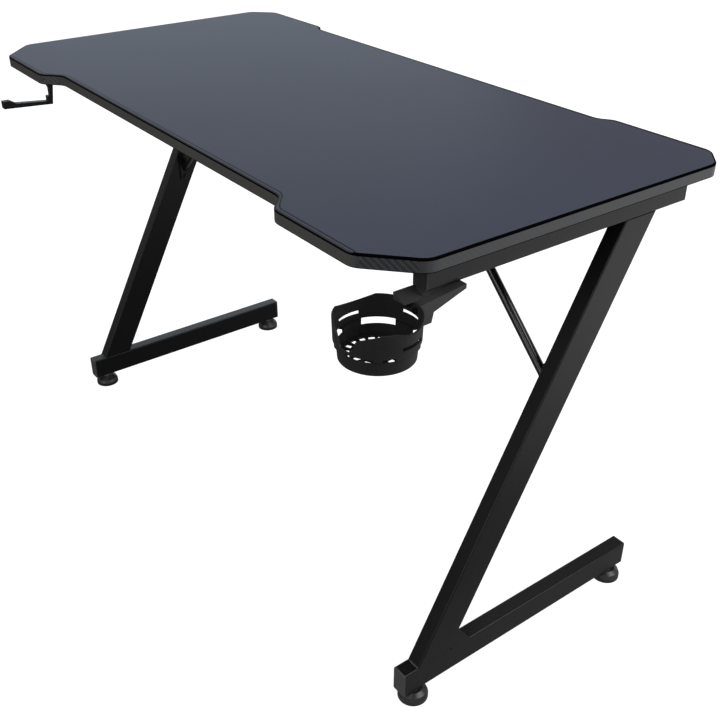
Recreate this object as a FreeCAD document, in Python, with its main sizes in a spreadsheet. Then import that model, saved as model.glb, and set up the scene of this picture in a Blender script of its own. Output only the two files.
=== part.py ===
import FreeCAD, Part
import math
import os
import Sketcher

# A desk with a shaped board on two Z-shaped steel side frames. The origin is on the floor, under
# the middle of the board. +X points to the user's right, +Y away from the user, +Z up.
# All sizes are in millimetres.

SIZES = {
    # board and its skins
    "board_length": 1200,
    "board_depth": 600,
    "core_thickness": 16.8,
    "laminate_thickness": 0.8,
    "backing_thickness": 0.4,
    "band_thickness": 3,
    "band_top_round": 2,
    "band_bottom_round": 0.8,
    "outline_round": 27,
    "front_chamfer_length": 65,
    "front_chamfer_depth": 59,
    "front_recess_length": 754,
    "front_recess_run": 31,
    "front_recess_depth": 29,
    "back_chamfer_length": 37,
    "back_chamfer_depth": 39,
    "back_recess_length": 778,
    "back_recess_run": 20,
    "back_recess_depth": 14.5,
    # side frames
    "tube_width": 25,
    "tube_wall": 1.5,
    "tube_round": 2.5,
    "leg_depth": 54,
    "leg_rise": 630,
    "leg_run": 331,
    "leg_inset": 44,
    "leg_setback": 26.5,
    "base_bar_length": 487,
    "base_bar_height": 44,
    "base_bar_shift": 13.5,
    "top_bar_length": 466,
    "top_bar_height": 42,
    "top_bar_shift": 16,
    "gusset_length": 41,
    "gusset_rise": 34,
    "gusset_clip": 4,
    "gusset_thickness": 6,
    # plastic caps in the ends of the bars
    "cap_thickness": 2,
    "cap_plug_length": 12,
    "cap_clearance": 0.1,
    # beam between the side frames
    "end_plate_thickness": 3,
    "end_plate_width": 62,
    "end_plate_round": 5,
    "beam_bolt_spacing": 40,
    # braces from the sloping legs up to the beam
    "brace_radius": 7,
    "brace_wall": 1.2,
    "brace_foot_height": 469.5,
    "brace_run": 228,
    "brace_spare": 25,
    "brace_waste": 60,
    "tab_thickness": 4,
    "tab_length": 60,
    "tab_width": 22,
    "tab_round": 5,
    "tab_bolt_spacing": 44,
    # fasteners
    "bolt_radius": 3,
    "bolt_length": 14,
    "bolt_head_radius": 5,
    "bolt_head_height": 3.5,
    "bolt_socket_radius": 2.3,
    "bolt_socket_depth": 2,
    "board_screw_radius": 2.5,
    "board_screw_bite": 9,
    "board_screw_head_radius": 5,
    "board_screw_head_height": 2.6,
    "fitting_screw_radius": 2,
    "fitting_screw_bite": 6,
    "fitting_screw_head_radius": 3.8,
    "fitting_screw_head_height": 2.4,
    "fitting_screw_end_gap": 20,
    "fitting_screw_spacing": 28,
    "hole_clearance": 0.1,
    # levelling feet
    "foot_height": 23.5,
    "front_foot_gap": 28,
    "back_foot_gap": 23.5,
    "pad_radius": 23.5,
    "pad_rim_height": 7,
    "pad_shoulder_radius": 21,
    "pad_shoulder_height": 13,
    "pad_neck_radius": 14.5,
    "pad_height": 17.5,
    "collar_corner_radius": 8.5,
    "collar_gap": 0.1,
    "stud_radius": 4,
    "stud_reach": 30,
    "spigot_radius": 5,
    "spigot_length": 10,
    "spigot_flange_radius": 7,
    "spigot_flange_height": 4,
    "swivel_clearance": 0.06,
    "swivel_end_gap": 0.3,
    "bush_radius": 7,
    "bush_length": 18,
    "thread_clearance": 0.05,
    # cup holder under the right bar
    "basket_shift": 7,
    "basket_reach": 66,
    "rim_drop": 9,
    "rim_radius": 52,
    "ring_foot_radius": 51,
    "ring_height": 33,
    "cup_radius": 47.5,
    "cup_foot_radius": 46,
    "cup_height": 19.5,
    "basket_wall": 2.5,
    "basket_floor": 3,
    "notch_width": 80,
    "notch_waist_width": 32,
    "notch_waist_drop": 9,
    "notch_foot_width": 18,
    "notch_depth": 27,
    "notch_round": 6,
    "scallop_radius": 70,
    "scallop_depth": 6,
    "upper_window_width": 33,
    "upper_window_height": 5,
    "side_window_drop": 21,
    "back_window_drop": 16,
    "lower_window_width": 40,
    "lower_window_height": 7.5,
    "front_window_width": 35,
    "front_window_height": 7,
    "corner_window_width": 15.5,
    "floor_slot_width": 8.5,
    "floor_slot_depth": 8.5,
    "floor_slot_edge_gap": 3,
    "inner_slot_radius": 24.5,
    "inner_slot_depth": 11,
    "inner_slot_width": 10,
    "holder_reach": 54,
    "holder_overhang": 21,
    "holder_plate_width": 13,
    "holder_plate_thickness": 7,
    "holder_tip_gap": 1,
    "holder_flange_thickness": 6,
    "holder_flange_drop": 15,
    "holder_fin_width": 4,
    "holder_knee_back": 5,
    "holder_knee_drop": 23,
    "holder_heel_back": 2,
    "holder_heel_drop": 36,
    "holder_root_drop": 38,
    "holder_neck_drop": 14,
    "holder_neck_reach": 29,
    "holder_seat_gap": 0.1,
    "basket_screw_drop": 4,
    "basket_screw_fall": 3,
    "basket_screw_spacing": 16,
    # headphone hook under the left bar
    "hook_width": 12,
    "hook_plate_thickness": 6,
    "hook_plate_reach": 57,
    "hook_post_gap": 2,
    "hook_post_lean": 6,
    "hook_post_thickness": 8.5,
    "hook_post_flare": 4,
    "hook_flare_height": 10,
    "hook_drop": 46,
    "hook_arm_thickness": 7,
    "hook_arm_reach": 101,
    "hook_arm_rise": 6,
    "hook_tip_height": 14,
    "hook_tip_thickness": 14,
    "hook_tip_ramp": 11,
    "hook_rib_height": 9,
    "hook_round": 1,
    # how far cutting shapes run past what they cut
    "overrun": 5,
}

BOARD_SCREW_SHARES = (0.2, 0.62, 0.93)
BEAM_SCREW_SHARES = (0.3, 0.7)
SIDE_WINDOW_ANGLES = (14, 187)
BACK_WINDOW_ANGLE = 88
LOWER_WINDOW_ANGLES = (57, 141, 227)
FRONT_WINDOW_ANGLE = 298
CORNER_WINDOW_ANGLE = 338
NOTCH_TURN = 7
SCALLOP_ANGLES = (22, 178)
OUTER_SLOT_ANGLES = [middle + 18 * step for middle in (0, 189) for step in range(-3, 4)]
INNER_SLOT_ANGLES = [7 + 36 * step for step in range(10)]

# Directions in which a flat outline is pushed out, or a rod points
UP = FreeCAD.Rotation()
TO_RIGHT = FreeCAD.Rotation(FreeCAD.Vector(1, 1, 1), 120)
TO_FRONT = FreeCAD.Rotation(FreeCAD.Vector(1, 0, 0), 90)
TO_BACK = FreeCAD.Rotation(FreeCAD.Vector(1, 0, 0), -90)

doc = FreeCAD.newDocument("GamingDesk")
sheet = doc.addObject("Spreadsheet::Sheet", "Sizes")
for row, (alias, number) in enumerate(SIZES.items(), 1):
    sheet.set(f"A{row}", alias)
    sheet.set(f"B{row}", str(number))
    sheet.setAlias(f"B{row}", alias)
doc.recompute()


class Size:
    """A length with the formula that ties it to the sheet and its present value."""

    def __init__(self, formula, value):
        self.formula = formula
        self.value = value

    def joined(self, sign, other, value):
        return Size(f"({self.formula} {sign} {other.formula})", value)

    def __add__(self, other):
        other = as_size(other)
        return self.joined("+", other, self.value + other.value)

    def __sub__(self, other):
        other = as_size(other)
        return self.joined("-", other, self.value - other.value)

    def __mul__(self, other):
        other = as_size(other)
        return self.joined("*", other, self.value * other.value)

    def __truediv__(self, other):
        other = as_size(other)
        return self.joined("/", other, self.value / other.value)

    def __neg__(self):
        return Size(f"(-1 * {self.formula})", -self.value)

    def root(self):
        return Size(f"sqrt({self.formula})", math.sqrt(self.value))

    def slope_angle(self):
        return Size(f"atan({self.formula})", math.degrees(math.atan(self.value)))


def as_size(number):
    return number if isinstance(number, Size) else Size(repr(float(number)), float(number))


class Named:
    """Gives each cell of the sheet as a Size."""

    def __getattr__(self, alias):
        return Size(f"Sizes.{alias}", float(sheet.get(alias)))


size = Named()
ORIGIN = (0, 0, 0)


def place(thing, base, turn=UP):
    """Puts an object at base, a point given in sizes, turned by a fixed rotation."""
    base = [as_size(part) for part in base]
    thing.Placement = FreeCAD.Placement(FreeCAD.Vector(*[part.value for part in base]), turn)
    for axis, part in zip("xyz", base):
        thing.setExpression(f"Placement.Base.{axis}", part.formula)
    return thing


def bind(thing, **properties):
    for name, amount in properties.items():
        thing.setExpression(name, as_size(amount).formula)
    return thing


def fixed_distance(sketch, kind, point, amount):
    amount = as_size(amount)
    index = sketch.addConstraint(Sketcher.Constraint(kind, -1, 1, point, 1, amount.value))
    sketch.setExpression(f"Constraints[{index}]", amount.formula)


def sharp_loop(sketch, corners):
    """Draws a closed outline with sharp corners."""
    points = [FreeCAD.Vector(as_size(x).value, as_size(y).value, 0) for x, y in corners]
    ends = points[1:] + points[:1]
    lines = sketch.addGeometry([Part.LineSegment(a, b) for a, b in zip(points, ends)])
    for index, (x, y) in enumerate(corners):
        sketch.addConstraint(Sketcher.Constraint("Coincident", lines[index - 1], 2, lines[index], 1))
        fixed_distance(sketch, "DistanceX", lines[index], x)
        fixed_distance(sketch, "DistanceY", lines[index], y)


def round_loop(sketch, corners, radius):
    """Draws a closed outline whose corners, kept as points, are rounded by tangent arcs."""
    points = [FreeCAD.Vector(as_size(x).value, as_size(y).value, 0) for x, y in corners]
    reach = radius.value
    starts, ends, arcs, enters = [], [], [], []
    for index, point in enumerate(points):
        coming = (point - points[index - 1]).normalize()
        going = (points[(index + 1) % len(points)] - point).normalize()
        left_turn = coming.x * going.y - coming.y * going.x > 0
        tangent = reach * math.tan(coming.getAngle(going) / 2)
        start = point - coming * tangent
        end = point + going * tangent
        inward = FreeCAD.Vector(-coming.y, coming.x, 0) * (1 if left_turn else -1)
        centre = start + inward * reach
        first, last = (start, end) if left_turn else (end, start)
        angles = [math.atan2(spot.y - centre.y, spot.x - centre.x) for spot in (first, last)]
        circle = Part.Circle(centre, FreeCAD.Vector(0, 0, 1), reach)
        arcs.append(Part.ArcOfCircle(circle, *angles))
        starts.append(start)
        ends.append(end)
        enters.append(1 if left_turn else 2)
    sides = [Part.LineSegment(a, b) for a, b in zip(ends, starts[1:] + starts[:1])]
    lines = sketch.addGeometry(sides)
    bends = sketch.addGeometry(arcs)
    marks = sketch.addGeometry([Part.Point(point) for point in points], True)
    for index, (x, y) in enumerate(corners):
        before, after, bend, mark = lines[index - 1], lines[index], bends[index], marks[index]
        enter = enters[index]
        sketch.addConstraint(Sketcher.Constraint("Tangent", before, 2, bend, enter))
        sketch.addConstraint(Sketcher.Constraint("Tangent", bend, 3 - enter, after, 1))
        sketch.addConstraint(Sketcher.Constraint("PointOnObject", mark, 1, before))
        sketch.addConstraint(Sketcher.Constraint("PointOnObject", mark, 1, after))
        fixed_distance(sketch, "DistanceX", mark, x)
        fixed_distance(sketch, "DistanceY", mark, y)
        if index:
            sketch.addConstraint(Sketcher.Constraint("Equal", bends[0], bend))
    number = sketch.addConstraint(Sketcher.Constraint("Radius", bends[0], reach))
    sketch.setExpression(f"Constraints[{number}]", radius.formula)


def outline(name, corners, base=ORIGIN, turn=UP, radius=None):
    """Makes a sketch of one outline, counter-clockwise, with rounded corners where radius is given."""
    sketch = doc.addObject("Sketcher::SketchObject", f"{name}_outline")
    if radius:
        round_loop(sketch, corners, radius)
    else:
        sharp_loop(sketch, corners)
    return place(sketch, base, turn)


def rectangle(width, height):
    half_width, half_height = width / 2, height / 2
    return [(-half_width, -half_height), (half_width, -half_height),
            (half_width, half_height), (-half_width, half_height)]


def pushed(name, sketch, length):
    """Pushes an outline out, square to its plane, into a solid."""
    solid = doc.addObject("Part::Extrusion", name)
    solid.Base = sketch
    solid.Solid = True
    solid.DirMode = "Normal"
    return bind(solid, LengthFwd=length)


def rod(name, radius, length, base, turn=UP):
    solid = doc.addObject("Part::Cylinder", name)
    return place(bind(solid, Radius=radius, Height=length), base, turn)


def turned(name, corners, base):
    """Spins a half profile, given as radius and height, once round the vertical."""
    solid = doc.addObject("Part::Revolution", name)
    solid.Source = outline(name, corners, ORIGIN, TO_FRONT)
    solid.Axis = FreeCAD.Vector(0, 0, 1)
    solid.Solid = True
    return place(solid, base)


def group(name, pieces):
    """Keeps separate solids together under one name."""
    many = doc.addObject("Part::Compound", name)
    many.Links = pieces
    return many


def cut(name, body, tools):
    difference = doc.addObject("Part::Cut", name)
    difference.Base = body
    difference.Tool = group(f"{name}_tools", tools) if len(tools) > 1 else tools[0]
    return difference


def joined(name, pieces):
    union = doc.addObject("Part::MultiFuse", name)
    union.Shapes = pieces
    return union


def rounded(name, body, radius, chosen):
    """Rounds the edges of a body for which chosen is true."""
    doc.recompute()
    fillet = doc.addObject("Part::Fillet", name)
    fillet.Base = body
    numbered = enumerate(body.Shape.Edges, 1)
    fillet.Edges = [(number, radius.value, radius.value) for number, edge in numbered if chosen(edge)]
    return fillet


def screw(name, shank_radius, length, head_radius, head_height, base, turn):
    """A pan-head screw: its head starts at base, and its shank points along the turned +Z."""
    along = turn.multVec(FreeCAD.Vector(0, 0, 1))
    seat = [part + head_height * step for part, step in zip(map(as_size, base), along)]
    head = rod(f"{name}_head", head_radius, head_height, base, turn)
    shank = rod(f"{name}_shank", shank_radius, length, seat, turn)
    driven = joined(f"{name}_blank", [head, shank])
    socket = doc.addObject("Part::Prism", f"{name}_socket")
    socket.Polygon = 6
    bind(socket, Circumradius=size.bolt_socket_radius, Height=size.bolt_socket_depth)
    place(socket, base, turn)
    return cut(name, driven, [socket])


# Levels and places that several pieces share
base_top = size.foot_height + size.base_bar_height
bar_bottom = base_top + size.leg_rise
board_bottom = bar_bottom + size.top_bar_height
core_bottom = board_bottom + size.backing_thickness
core_top = core_bottom + size.core_thickness
board_top = core_top + size.laminate_thickness
leg_x = size.board_length / 2 - size.leg_inset
leg_inner_x = leg_x - size.tube_width / 2
top_bar_front = size.top_bar_shift - size.top_bar_length / 2
base_bar_front = size.base_bar_shift - size.base_bar_length / 2
leg_length = (size.leg_run * size.leg_run + size.leg_rise * size.leg_rise).root()
leg_slant = leg_length / size.leg_rise
leg_foot_y = base_bar_front + size.leg_setback + size.leg_depth * leg_slant / 2
brace_y = leg_foot_y + size.leg_run * (size.brace_foot_height - base_top) / size.leg_rise
brace_end_x = leg_inner_x - size.tab_thickness
brace_end_z = bar_bottom - size.tab_thickness
brace_head_x = brace_end_x - size.brace_run
bar_inner_x = leg_x - size.tube_width / 2
beam_half = bar_inner_x - size.end_plate_thickness
top_bar_level = bar_bottom + size.top_bar_height / 2
base_bar_level = size.foot_height + size.base_bar_height / 2
fitting_screw_ys = [top_bar_front + size.fitting_screw_end_gap,
                    top_bar_front + size.fitting_screw_end_gap + size.fitting_screw_spacing]
board_screw_ys = [top_bar_front + size.top_bar_length * share for share in BOARD_SCREW_SHARES]
beam_screw_xs = [beam_half * 2 * share - beam_half for share in BEAM_SCREW_SHARES]
foot_ys = {"front": base_bar_front + size.front_foot_gap,
           "back": base_bar_front + size.base_bar_length - size.back_foot_gap}
SIDES = {"left": -1, "right": 1}
parts = []


def keep(piece):
    """Marks a finished piece, whose label names its file."""
    parts.append(piece)
    return piece


# Board: a core with a film on each face, and a band glued round its edge
def board_corners():
    """Half of the outline by named sizes, mirrored to the left."""
    half_length, half_depth = size.board_length / 2, size.board_depth / 2
    front_step = size.front_recess_length / 2
    back_step = size.back_recess_length / 2
    right = [
        (front_step - size.front_recess_run, size.front_recess_depth - half_depth),
        (front_step, -half_depth),
        (half_length - size.front_chamfer_length, -half_depth),
        (half_length, size.front_chamfer_depth - half_depth),
        (half_length, half_depth - size.back_chamfer_depth),
        (half_length - size.back_chamfer_length, half_depth),
        (back_step, half_depth),
        (back_step - size.back_recess_run, half_depth - size.back_recess_depth),
    ]
    left = [(-x, y) for x, y in reversed(right)]
    return right + left


board_outline = outline("board", board_corners(), (0, 0, board_bottom), UP, size.outline_round)
core_outline = doc.addObject("Part::Offset2D", "core_outline")
core_outline.Source = board_outline
bind(core_outline, Value=-size.band_thickness)


def layer(name, bottom, thickness):
    """A sheet that fills the edge band, from the given level up."""
    sheet_solid = pushed(name, core_outline, thickness)
    return place(sheet_solid, (0, 0, bottom - board_bottom))


bar_screw_spots = [(leg_x * side, y) for side in SIDES.values() for y in board_screw_ys]
beam_screw_spots = [(x, brace_y) for x in beam_screw_xs]
board_screw_spots = bar_screw_spots + beam_screw_spots


def pilots(name, bottom, length):
    return [rod(f"{name}_pilot_{index}", size.board_screw_radius, length, (x, y, bottom))
            for index, (x, y) in enumerate(board_screw_spots)]


keep(cut("tabletop_core", layer("core_sheet", core_bottom, size.core_thickness),
         pilots("core", core_bottom - size.overrun, size.overrun + size.board_screw_bite)))
keep(layer("tabletop_laminate", core_top, size.laminate_thickness))
keep(cut("tabletop_backing", layer("backing_sheet", board_bottom, size.backing_thickness),
         pilots("backing", board_bottom - size.overrun, size.overrun * 2)))

board_thickness = board_top - board_bottom
band_blank = pushed("band_blank", board_outline, board_thickness)
top_level = board_top.value
bottom_level = board_bottom.value
band_topped = rounded("band_topped", band_blank, size.band_top_round,
                      lambda edge: math.isclose(edge.BoundBox.ZMin, top_level, abs_tol=1e-6))
band_shaped = rounded("band_shaped", band_topped, size.band_bottom_round,
                      lambda edge: math.isclose(edge.BoundBox.ZMax, bottom_level, abs_tol=1e-6))
keep(cut("tabletop_edge_band", band_shaped, [layer("band_hollow", board_bottom, board_thickness)]))


# Side frames: a top bar and a base bar along Y, and a sloping leg between them
def tube(name, width, height, length, base, turn):
    """A rectangular tube with rounded corners, open at both ends."""
    outer = pushed(f"{name}_outer", outline(f"{name}_outer", rectangle(width, height), base, turn,
                                            size.tube_round), length)
    bore_corners = rectangle(width - size.tube_wall * 2, height - size.tube_wall * 2)
    bore_sketch = outline(f"{name}_bore", bore_corners, base, turn, size.tube_round - size.tube_wall)
    return outer, pushed(f"{name}_bore", bore_sketch, length)


def bar(name, side, front, length, width, height, middle_level, holes):
    """A bar of a side frame, without its end caps."""
    back = front + length - size.cap_thickness
    run = length - size.cap_thickness * 2
    outer, bore = tube(name, width, height, run, (leg_x * side, back, middle_level), TO_FRONT)
    return keep(cut(name, outer, [bore] + holes))


def top_bar_holes(side_name, side):
    """Holes for the board screws, the fittings at the front end and the bolts of the beam."""
    holes = []
    for index, y in enumerate(board_screw_ys):
        holes.append(rod(f"{side_name}_bar_screw_hole_{index}", size.board_screw_radius + size.hole_clearance,
                         size.top_bar_height + size.overrun * 2,
                         (leg_x * side, y, bar_bottom - size.overrun)))
    for index, y in enumerate(fitting_screw_ys):
        holes.append(rod(f"{side_name}_fitting_hole_{index}", size.fitting_screw_radius,
                         size.overrun + size.tube_wall * 2, (leg_x * side, y, bar_bottom - size.overrun)))
    for index, sign in enumerate((-1, 1)):
        y = brace_y + size.beam_bolt_spacing / 2 * sign
        spot = (beam_half * side, y, top_bar_level)
        holes.append(rod(f"{side_name}_beam_bolt_hole_{index}", size.bolt_radius + size.hole_clearance,
                         size.end_plate_thickness + size.tube_wall * 2, spot,
                         FreeCAD.Rotation(FreeCAD.Vector(0, 1, 0), 90 * side)))
    return holes


def base_bar_holes(side_name, side):
    return [rod(f"{side_name}_{end}_bush_hole", size.bush_radius, size.overrun + size.tube_wall * 2,
                (leg_x * side, y, size.foot_height - size.overrun)) for end, y in foot_ys.items()]


def leg_profile(name, depth, width, radius, side):
    """The leg's level section, stretched along Y because the leg leans."""
    return outline(name, rectangle(width, depth * leg_slant), (leg_x * side, leg_foot_y, base_top),
                   UP, radius)


def leaning(name, profile):
    """Pushes a level section along the slope of the leg."""
    solid = doc.addObject("Part::Extrusion", name)
    solid.Base = profile
    solid.Solid = True
    solid.DirMode = "Custom"
    solid.setExpression("Dir.x", "0")
    solid.setExpression("Dir.y", size.leg_run.formula)
    solid.setExpression("Dir.z", size.leg_rise.formula)
    return solid


for side_name, side in SIDES.items():
    bar(f"{side_name}_top_bar", side, top_bar_front, size.top_bar_length, size.tube_width,
        size.top_bar_height, top_bar_level, top_bar_holes(side_name, side))
    bar(f"{side_name}_base_bar", side, base_bar_front, size.base_bar_length, size.tube_width,
        size.base_bar_height, base_bar_level, base_bar_holes(side_name, side))

    leg_name = f"{side_name}_sloping_leg"
    shell = leaning(f"{leg_name}_outer", leg_profile(f"{leg_name}_outer", size.leg_depth,
                                                    size.tube_width, size.tube_round, side))
    hollow = leaning(f"{leg_name}_bore", leg_profile(f"{leg_name}_bore", size.leg_depth - size.tube_wall * 2,
                                                    size.tube_width - size.tube_wall * 2,
                                                    size.tube_round - size.tube_wall, side))
    bolt_holes = []
    for index, sign in enumerate((-1, 1)):
        spot_z = size.brace_foot_height + size.tab_bolt_spacing / 2 * sign
        spot = ((leg_inner_x - size.overrun) * side, brace_y, spot_z)
        bolt_holes.append(rod(f"{leg_name}_bolt_hole_{index}", size.bolt_radius + size.hole_clearance,
                              size.overrun + size.tube_wall * 2, spot,
                              FreeCAD.Rotation(FreeCAD.Vector(0, 1, 0), 90 * side)))
    keep(cut(leg_name, shell, [hollow] + bolt_holes))


# Gusset: a small plate in the sharp corner behind the right leg, flush with the outer sides of the tubes
leg_back_y = leg_foot_y + size.leg_depth * leg_slant / 2
leg_lean = size.leg_run / size.leg_rise
gusset_corners = [(leg_back_y + size.gusset_clip, base_top), (leg_back_y + size.gusset_length, base_top),
                  (leg_back_y + leg_lean * size.gusset_rise, base_top + size.gusset_rise),
                  (leg_back_y + leg_lean * size.gusset_clip, base_top + size.gusset_clip)]
gusset_x = leg_x + size.tube_width / 2 - size.gusset_thickness
keep(pushed("right_leg_gusset", outline("right_leg_gusset", gusset_corners, (gusset_x, 0, 0), TO_RIGHT),
            size.gusset_thickness))


# End caps: a plate over the tube's end and a plug inside it
def end_cap(name, side, end_y, inward, width, height, middle_level):
    """inward is 1 at the front end and -1 at the back end."""
    plate_y = end_y if inward < 0 else end_y + size.cap_thickness
    plate = pushed(f"{name}_plate", outline(f"{name}_plate", rectangle(width, height),
                                            (leg_x * side, plate_y, middle_level), TO_FRONT,
                                            size.tube_round), size.cap_thickness)
    slack = (size.tube_wall + size.cap_clearance) * 2
    plug_y = end_y - size.cap_thickness if inward < 0 else end_y + size.cap_thickness + size.cap_plug_length
    plug_corners = rectangle(width - slack, height - slack)
    plug = pushed(f"{name}_plug", outline(f"{name}_plug", plug_corners,
                                          (leg_x * side, plug_y, middle_level), TO_FRONT,
                                          size.tube_round - size.tube_wall), size.cap_plug_length)
    return joined(name, [plate, plug])


def end_caps(name, front, length, width, height, middle_level):
    caps = []
    for side_name, side in SIDES.items():
        for end, end_y, inward in (("front", front, 1), ("back", front + length, -1)):
            caps.append(end_cap(f"{name}_{side_name}_{end}", side, end_y, inward,
                                width, height, middle_level))
    return keep(group(name, caps))


end_caps("top_bar_end_caps", top_bar_front, size.top_bar_length, size.tube_width,
         size.top_bar_height, top_bar_level)
end_caps("base_bar_end_caps", base_bar_front, size.base_bar_length, size.tube_width,
         size.base_bar_height, base_bar_level)

# Beam: a tube across the underside with a plate welded on each end, bolted to the top bars
beam_outer, beam_bore = tube("beam", size.tube_width, size.top_bar_height, beam_half * 2,
                             (-beam_half, brace_y, top_bar_level), TO_RIGHT)
beam_holes = [rod(f"beam_screw_hole_{index}", size.board_screw_radius + size.hole_clearance,
                  size.top_bar_height + size.overrun * 2, (x, brace_y, bar_bottom - size.overrun))
              for index, x in enumerate(beam_screw_xs)]
for side_name, side in SIDES.items():
    for index, sign in enumerate((-1, 1)):
        x = brace_head_x + size.tab_bolt_spacing / 2 * sign
        beam_holes.append(rod(f"beam_{side_name}_tab_hole_{index}", size.bolt_radius + size.hole_clearance,
                              size.overrun + size.tube_wall * 2,
                              (x * side, brace_y, bar_bottom - size.overrun)))
keep(cut("cross_beam", beam_outer, [beam_bore] + beam_holes))

end_plates = []
beam_bolts = []
for side_name, side in SIDES.items():
    toward_bar = FreeCAD.Rotation(FreeCAD.Vector(0, 1, 0), 90 * side)
    plate_x = beam_half if side > 0 else -bar_inner_x
    plate_sketch = outline(f"{side_name}_end_plate", rectangle(size.end_plate_width, size.top_bar_height),
                           (plate_x, brace_y, top_bar_level), TO_RIGHT, size.end_plate_round)
    plate = pushed(f"{side_name}_end_plate_blank", plate_sketch, size.end_plate_thickness)
    plate_holes = []
    for index, sign in enumerate((-1, 1)):
        y = brace_y + size.beam_bolt_spacing / 2 * sign
        plate_holes.append(rod(f"{side_name}_plate_hole_{index}", size.bolt_radius + size.hole_clearance,
                               size.end_plate_thickness + size.overrun * 2,
                               ((beam_half - size.overrun) * side, y, top_bar_level), toward_bar))
        head_x = (beam_half - size.bolt_head_height) * side
        beam_bolts.append(screw(f"{side_name}_beam_bolt_{index}", size.bolt_radius, size.bolt_length,
                                size.bolt_head_radius, size.bolt_head_height,
                                (head_x, y, top_bar_level), toward_bar))
    end_plates.append(cut(f"{side_name}_end_plate", plate, plate_holes))
keep(group("beam_end_plates", end_plates))
keep(group("beam_bolts", beam_bolts))

# Braces: a round tube cut to lie against a tab on the leg and a tab under the beam
brace_rise = brace_end_z - size.brace_foot_height
brace_reach = (size.brace_run * size.brace_run + brace_rise * brace_rise).root()


def brace_stock(name, radius, side):
    """A straight rod on the brace's axis, longer than the brace at both ends."""
    foot_x = brace_end_x + size.brace_run / brace_reach * size.brace_spare
    foot_z = size.brace_foot_height - brace_rise / brace_reach * size.brace_spare
    lean = (size.brace_run / brace_rise).slope_angle() * -side
    turn = FreeCAD.Rotation(FreeCAD.Vector(0, 1, 0), lean.value)
    solid = rod(name, radius, brace_reach + size.brace_spare * 2, (foot_x * side, brace_y, foot_z), turn)
    solid.setExpression("Placement.Rotation.Angle", lean.formula)
    return solid


def block(name, spans):
    """A box between two limits along each axis."""
    solid = doc.addObject("Part::Box", name)
    widths = [as_size(high) - low for low, high in spans]
    bind(solid, Length=widths[0], Width=widths[1], Height=widths[2])
    return place(solid, [low for low, high in spans])


tabs = []
brace_bolts = []
for side_name, side in SIDES.items():
    name = f"{side_name}_brace"
    waste = size.brace_waste
    waste_y = (brace_y - waste / 2, brace_y + waste / 2)
    leg_waste_x = (brace_end_x, brace_end_x + waste) if side > 0 else (-brace_end_x - waste, -brace_end_x)
    past_leg = block(f"{name}_leg_waste", (leg_waste_x, waste_y,
                                           (size.brace_foot_height - waste, size.brace_foot_height + waste)))
    head_low = brace_head_x * side - waste
    past_beam = block(f"{name}_beam_waste", ((head_low, head_low + waste * 2), waste_y,
                                             (brace_end_z, brace_end_z + waste)))
    keep(cut(name, brace_stock(f"{name}_stock", size.brace_radius, side),
             [brace_stock(f"{name}_bore", size.brace_radius - size.brace_wall, side), past_leg, past_beam]))

    to_leg = FreeCAD.Rotation(FreeCAD.Vector(0, 1, 0), 90 * side)
    leg_tab_x = brace_end_x if side > 0 else -leg_inner_x
    leg_tab = pushed(f"{name}_leg_tab_blank",
                     outline(f"{name}_leg_tab", rectangle(size.tab_width, size.tab_length),
                             (leg_tab_x, brace_y, size.brace_foot_height), TO_RIGHT, size.tab_round),
                     size.tab_thickness)
    beam_tab = pushed(f"{name}_beam_tab_blank",
                      outline(f"{name}_beam_tab", rectangle(size.tab_length, size.tab_width),
                              (brace_head_x * side, brace_y, brace_end_z), UP, size.tab_round),
                      size.tab_thickness)
    leg_holes = []
    beam_tab_holes = []
    hole_radius = size.bolt_radius + size.hole_clearance
    hole_length = size.tab_thickness + size.overrun * 2
    for index, sign in enumerate((-1, 1)):
        step = size.tab_bolt_spacing / 2 * sign
        leg_z = size.brace_foot_height + step
        beam_x = (brace_head_x + step) * side
        leg_holes.append(rod(f"{name}_leg_tab_hole_{index}", hole_radius, hole_length,
                             ((brace_end_x - size.overrun) * side, brace_y, leg_z), to_leg))
        beam_tab_holes.append(rod(f"{name}_beam_tab_hole_{index}", hole_radius, hole_length,
                                  (beam_x, brace_y, brace_end_z - size.overrun)))
        brace_bolts.append(screw(f"{name}_leg_bolt_{index}", size.bolt_radius, size.bolt_length,
                                 size.bolt_head_radius, size.bolt_head_height,
                                 ((brace_end_x - size.bolt_head_height) * side, brace_y, leg_z), to_leg))
        brace_bolts.append(screw(f"{name}_beam_bolt_{index}", size.bolt_radius, size.bolt_length,
                                 size.bolt_head_radius, size.bolt_head_height,
                                 (beam_x, brace_y, brace_end_z - size.bolt_head_height), UP))
    tabs.append(cut(f"{name}_leg_tab", leg_tab, leg_holes))
    tabs.append(cut(f"{name}_beam_tab", beam_tab, beam_tab_holes))
keep(group("brace_tabs", tabs))
keep(group("brace_bolts", brace_bolts))

# Screws that hold the board down, driven up through the bars and the beam
board_screw_length = size.top_bar_height + size.backing_thickness + size.board_screw_bite
keep(group("tabletop_screws", [
    screw(f"tabletop_screw_{index}", size.board_screw_radius, board_screw_length,
          size.board_screw_head_radius, size.board_screw_head_height,
          (x, y, bar_bottom - size.board_screw_head_height), UP)
    for index, (x, y) in enumerate(board_screw_spots)]))

# Levelling feet: a pad that swivels on the stud, a stud with a hexagon collar, a bush in the bar
collar_bottom = size.pad_height + size.swivel_end_gap
collar_top = size.foot_height - size.collar_gap
spigot_bottom = collar_bottom - size.spigot_length
flange_top = spigot_bottom + size.spigot_flange_height
socket_bottom = spigot_bottom - size.swivel_end_gap
socket_top = flange_top + size.swivel_end_gap
socket_radius = size.spigot_flange_radius + size.swivel_end_gap
throat_radius = size.spigot_radius + size.swivel_clearance


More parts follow.
